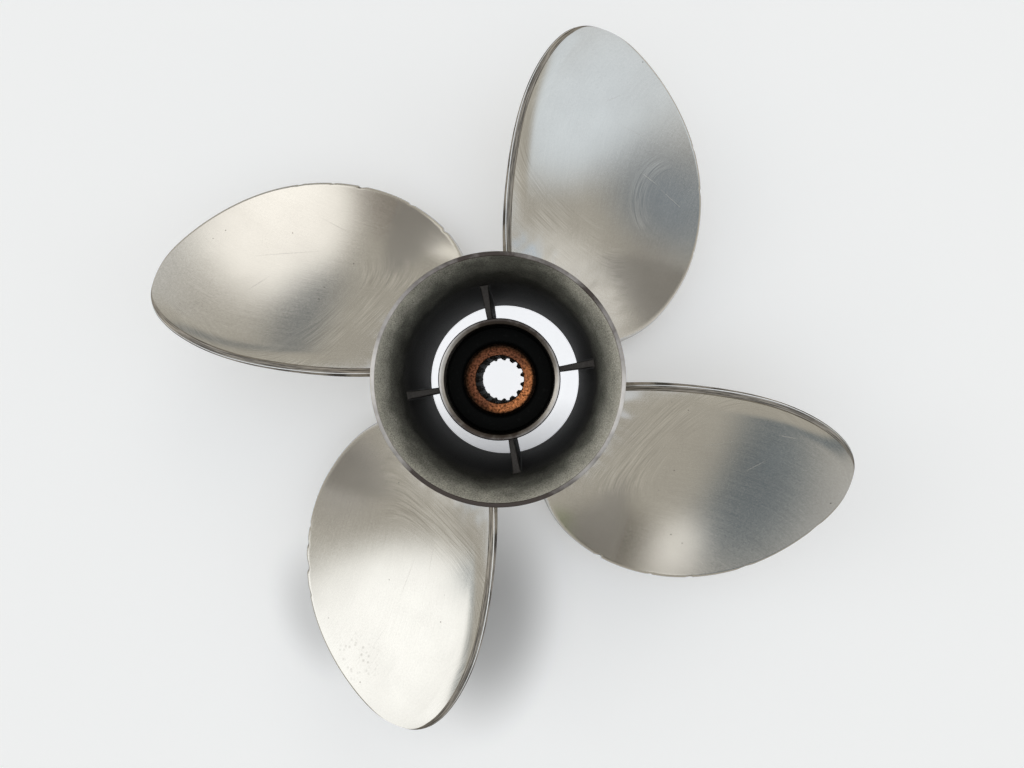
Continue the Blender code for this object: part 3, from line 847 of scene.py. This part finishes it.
for index in range(4):
    bm = bmesh.new()
    uv = bm.loops.layers.uv.new("blade")
    bmesh.ops.create_grid(bm, x_segments=ROUND_STEPS, y_segments=SPAN_STEPS, size=0.5)
    sections = []
    for step in range(SPAN_STEPS + 1):
        distance = 1 - step / SPAN_STEPS
        radius = TIP_RADIUS - (TIP_RADIUS - BLADE_ROOT) * mix(distance**2, distance, 0.25 * distance)
        sections.append(BladeSection(radius, NICKS[index + 1]))
    for face in bm.faces:
        middle = face.calc_center_median()
        strip = math.ceil((middle.x + 0.5) * ROUND_STEPS)
        is_torn = sections[round((middle.y + 0.5) * SPAN_STEPS)].nick > 0.9 * MM and strip < 3
        face.material_index = GROUND if is_torn else STATIONS[strip][4]
    chord_places = {}
    for vert in bm.verts:
        row = round((vert.co.y + 0.5) * SPAN_STEPS)
        section = sections[row]
        share, through, out, down, _ = STATIONS[round((vert.co.x + 0.5) * ROUND_STEPS)]
        if row in (0, SPAN_STEPS):
            through, out, down = 0.5, 0.0, 0.0
        angle, z, from_trailing = section.point(share, through, out, down)
        angle += index * math.pi / 2
        vert.co = (section.radius * math.cos(angle), section.radius * math.sin(angle), z)
        chord_places[vert] = (from_trailing, section.radius)
    for face in bm.faces:
        for loop in face.loops:
            loop[uv].uv = chord_places[loop.vert]
    bmesh.ops.remove_doubles(bm, verts=bm.verts[:], dist=0.002 * MM)
    finished_piece(
        f"polished_blade_{index + 1}", bm, (polished, belt_ground, edge_ground),
        (f"blade_{index + 1}",),
    )


# The stage: a sheet of pale matt card under the propeller. It glows a little by itself, a painted
# light that keeps the shadows soft, and glows more under the hub, so the card shows bright through
# the exhaust passages.
FLOOR_HALF = 3.0
bm = bmesh.new()
bmesh.ops.create_grid(bm, x_segments=1, y_segments=1, size=FLOOR_HALF)
bmesh.ops.translate(bm, verts=bm.verts[:], vec=(0, 0, -0.05 * MM))
mesh = bpy.data.meshes.new("floor")
bm.to_mesh(mesh)
bm.free()
floor = bpy.data.objects.new("floor", mesh)
bpy.context.scene.collection.objects.link(floor)

# Matt card: almost white, with painted soft shadows of the hub and of the lowest blade on it.
card, tree, shader, place = new_finish("pale_card", 0.0)
shader.inputs["Roughness"].default_value = 0.9
shader.inputs["Specular IOR Level"].default_value = 0.1
shader.inputs["Emission Color"].default_value = hex_colour("F8FAFD")
flat_place = add_node(tree, "ShaderNodeVectorMath", {0: place, 1: (1.0, 1.0, 0.0)}, operation="MULTIPLY")
from_axis = add_node(tree, "ShaderNodeVectorMath", {0: flat_place.outputs[0]}, operation="LENGTH")
height = add_node(tree, "ShaderNodeSeparateXYZ", {0: place}).outputs["Y"]
# Painted light: the card glows brighter under the hub, fading to a painted shade towards -Y.
inside_hub = add_node(tree, "ShaderNodeMapRange", {
    "Value": from_axis.outputs["Value"], "From Min": 60 * MM, "From Max": 52 * MM,
})
painted_light_under_hub = add_node(tree, "ShaderNodeMapRange", {
    "Value": height, "From Min": -52 * MM, "From Max": -12 * MM, "To Min": 0.16, "To Max": 0.72,
})
glow = add_node(tree, "ShaderNodeMath", {
    0: inside_hub.outputs["Result"], 1: painted_light_under_hub.outputs["Result"], 2: 0.165,
}, operation="MULTIPLY_ADD")
shade = glow.outputs[0]
tone = add_node(tree, "ShaderNodeRGB").outputs[0]
tone.default_value = hex_colour("ECEEF2")
# Painted shadows: soft patches that darken both the card's colour and its glow.
for x, y, half_width, half_length, turn, darkness in (
    (-30, -140, 85, 110, -10, 0.30),
    (-8, -158, 47, 85, -8, 0.36),
    (-120, -150, 35, 55, 20, 0.25),
):
    local = add_node(tree, "ShaderNodeMapping", {
        "Vector": flat_place.outputs[0], "Location": (x * MM, y * MM, 0.0),
        "Rotation": (0.0, 0.0, math.radians(turn)), "Scale": (half_width * MM, half_length * MM, 1.0),
    }, vector_type="TEXTURE")
    away = add_node(tree, "ShaderNodeVectorMath", {0: local.outputs[0]}, operation="LENGTH")
    left = add_node(tree, "ShaderNodeMapRange", {
        "Value": away.outputs["Value"], "From Min": 0.2, "From Max": 1.0, "To Min": 1 - darkness,
    }, interpolation_type="SMOOTHSTEP").outputs["Result"]
    tone = add_node(tree, "ShaderNodeMix", {0: 1.0, 6: tone, 7: left}, data_type="RGBA", blend_type="MULTIPLY").outputs[2]
    shade = add_node(tree, "ShaderNodeMath", {0: shade, 1: left}, operation="MULTIPLY").outputs[0]
tree.links.new(tone, shader.inputs["Base Color"])
tree.links.new(shade, shader.inputs["Emission Strength"])
mesh.materials.append(card)


# The light: a soft pale room with large panels, as (colour, degrees round from +X, degrees down
# from straight above, half height, half width, turn, soft edge). The camera sees a plain pale wall instead of the
# panels.
PANELS = (
    ("DADDE0", 0, 0, 34, 34, 0, 0.30),
    ("C9C5BC", 322, 84, 10, 34, 0, 0.60),
    ("CDD3D6", 350, 48, 14, 12, 0, 0.40),
    ("747B80", 319, 51, 9, 12, 0, 0.60),
    ("8E897F", 303, 66, 9, 14, 0, 0.60),
    ("AEBAC4", 350, 87, 4, 6, 0, 0.50),
    ("FDF8EE", 62, 46, 13, 14, 0, 0.30),
    ("817A70", 34, 57, 14, 8, 0, 0.35),
    ("6C6E6D", 78, 61, 6, 15, 0, 0.70),
    ("F7F1E4", 27, 74, 3, 8, 30, 0.50),
    ("FFFEF8", 166, 51, 19, 17, 0, 0.35),
    ("95918A", 124, 64, 11, 10, 0, 0.60),
    ("8F9697", 175, 68, 4, 4, 0, 0.70),
    ("5C6468", 252, 49, 7, 18, 0, 0.45),
    ("EFEBE2", 228, 53, 4, 6, 0, 0.60),
    ("5D584F", 212, 64, 10, 11, 0, 0.50),
    ("6C7450", 202, 73, 4, 4, 0, 0.60),
)
ROOM_GAIN = 1.65

world = bpy.data.worlds.new("soft_room")
bpy.context.scene.world = world
world.use_nodes = True
tree = world.node_tree
for old in list(tree.nodes):
    tree.nodes.remove(old)
direction = add_node(tree, "ShaderNodeTexCoord").outputs["Generated"]
colour = add_node(tree, "ShaderNodeRGB").outputs[0]
colour.default_value = hex_colour("9D988C")
for panel, around, down, half_height, half_width, turn, soft in PANELS:
    facing = (
        Matrix.Rotation(math.radians(around), 3, "Z")
        @ Matrix.Rotation(math.radians(down), 3, "Y")
        @ Matrix.Rotation(math.radians(turn), 3, "Z")
    )
    size = (math.sin(math.radians(half_height)), math.sin(math.radians(half_width)), 1000.0)
    local = add_node(tree, "ShaderNodeMapping", {
        "Vector": direction, "Rotation": facing.to_euler(), "Scale": size,
    }, vector_type="TEXTURE")
    away = add_node(tree, "ShaderNodeVectorMath", {0: local.outputs[0]}, operation="LENGTH")
    cover = add_node(tree, "ShaderNodeMapRange", {
        "Value": away.outputs["Value"], "From Min": 1 + soft, "From Max": 1 - soft,
    }, interpolation_type="SMOOTHSTEP")
    colour = add_node(tree, "ShaderNodeMix", {
        0: cover.outputs["Result"], 6: colour, 7: hex_colour(panel),
    }, data_type="RGBA").outputs[2]
room = add_node(tree, "ShaderNodeBackground", {"Color": colour, "Strength": ROOM_GAIN})
wall = add_node(tree, "ShaderNodeBackground", {"Color": hex_colour("E9EDEF"), "Strength": 1.0})
seen = add_node(tree, "ShaderNodeLightPath").outputs["Is Camera Ray"]
shown = add_node(tree, "ShaderNodeMixShader", {0: seen, 1: room.outputs[0], 2: wall.outputs[0]})
add_node(tree, "ShaderNodeOutputWorld", {"Surface": shown.outputs[0]})
bpy.context.scene.view_settings.view_transform = "Standard"
